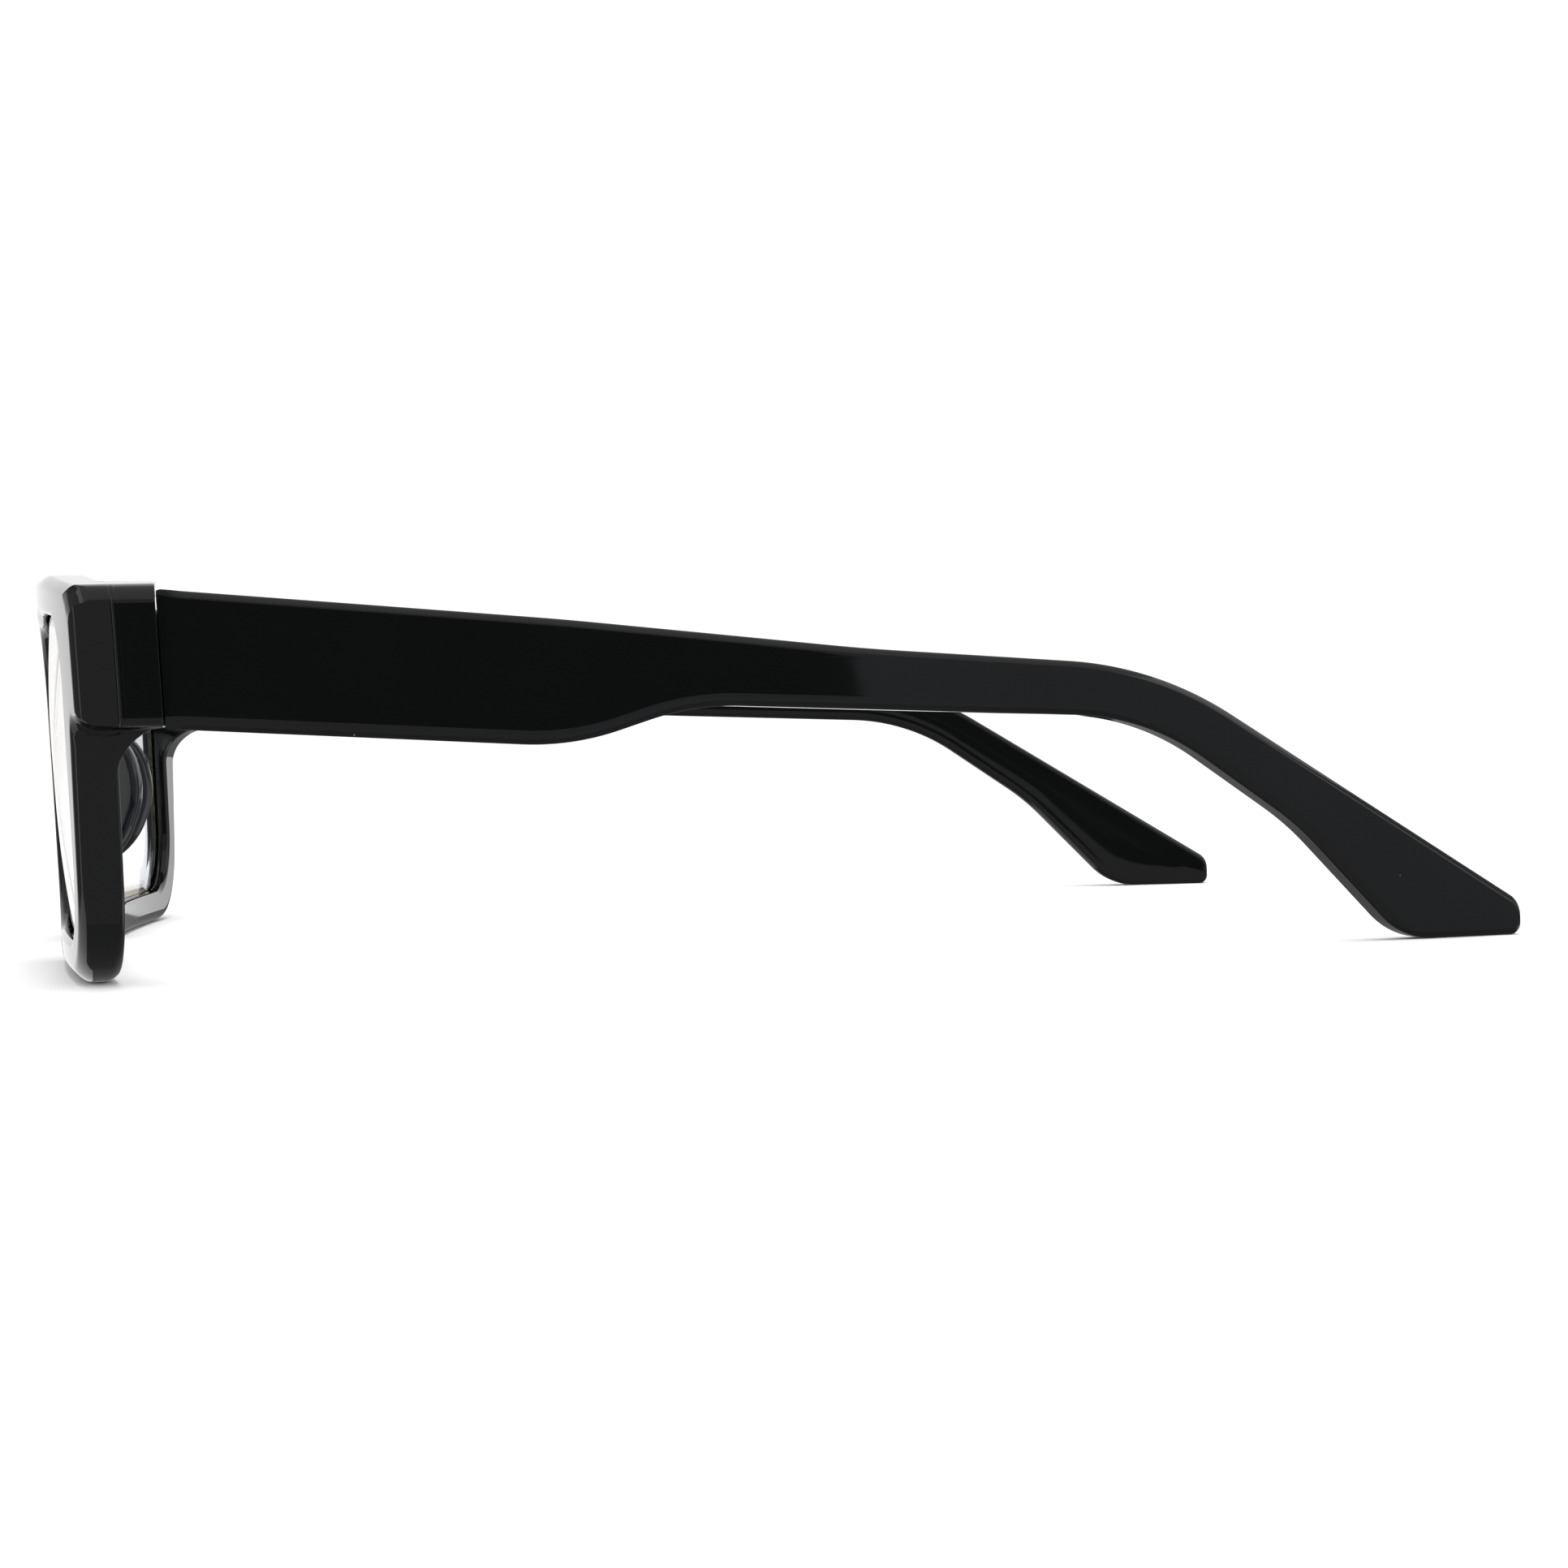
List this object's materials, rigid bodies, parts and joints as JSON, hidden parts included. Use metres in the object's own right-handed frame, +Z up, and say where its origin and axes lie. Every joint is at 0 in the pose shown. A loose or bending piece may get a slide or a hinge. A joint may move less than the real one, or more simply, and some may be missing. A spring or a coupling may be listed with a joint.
{
  "type": "eyeglasses",
  "caption": "Rectangular full-rim eyeglasses in thick polished black acetate, with clear lenses, fixed nose pads and temples that fold flat behind the front.",
  "frame": {"origin": "the middle of the object's box at its bottom, on the surface that the rims and temple tips stand on", "axes": "+X towards the wearer's left, -Y the way the glasses face, so the temples run towards +Y; +Z up"},
  "size_m": [0.142, 0.1542, 0.0416],
  "materials": {
    "acetate": "polished black acetate",
    "pad_acetate": "polished black acetate",
    "lens": "clear, coated against reflections",
    "hinge_metal": "satin nickel silver",
    "screw_metal": "satin steel",
    "wire_metal": "drawn wire"
  },
  "bodies": {
    "front": {"front_frame": "acetate", "nose_pad_left": "pad_acetate", "nose_pad_right": "pad_acetate", "lens_left": "lens", "lens_right": "lens", "front_hinge_left": "hinge_metal", "front_hinge_right": "hinge_metal", "hinge_screw_left": "screw_metal", "hinge_screw_right": "screw_metal"},
    "left_temple": {"temple_left": "acetate", "temple_hinge_left": "hinge_metal", "core_wire_left": "wire_metal"},
    "right_temple": {"temple_right": "acetate", "temple_hinge_right": "hinge_metal", "core_wire_right": "wire_metal"}
  },
  "joints": [
    {"name": "left_temple_fold", "type": "hinge", "parent": "front", "child": "left_temple", "pos_m": [0.0642, -0.06022, 0.0318], "axis": [0, 0, 1], "range_deg": [0, 87]},
    {"name": "right_temple_fold", "type": "hinge", "parent": "front", "child": "right_temple", "pos_m": [-0.0642, -0.06022, 0.0318], "axis": [0, 0, -1], "range_deg": [0, 79]}
  ]
}
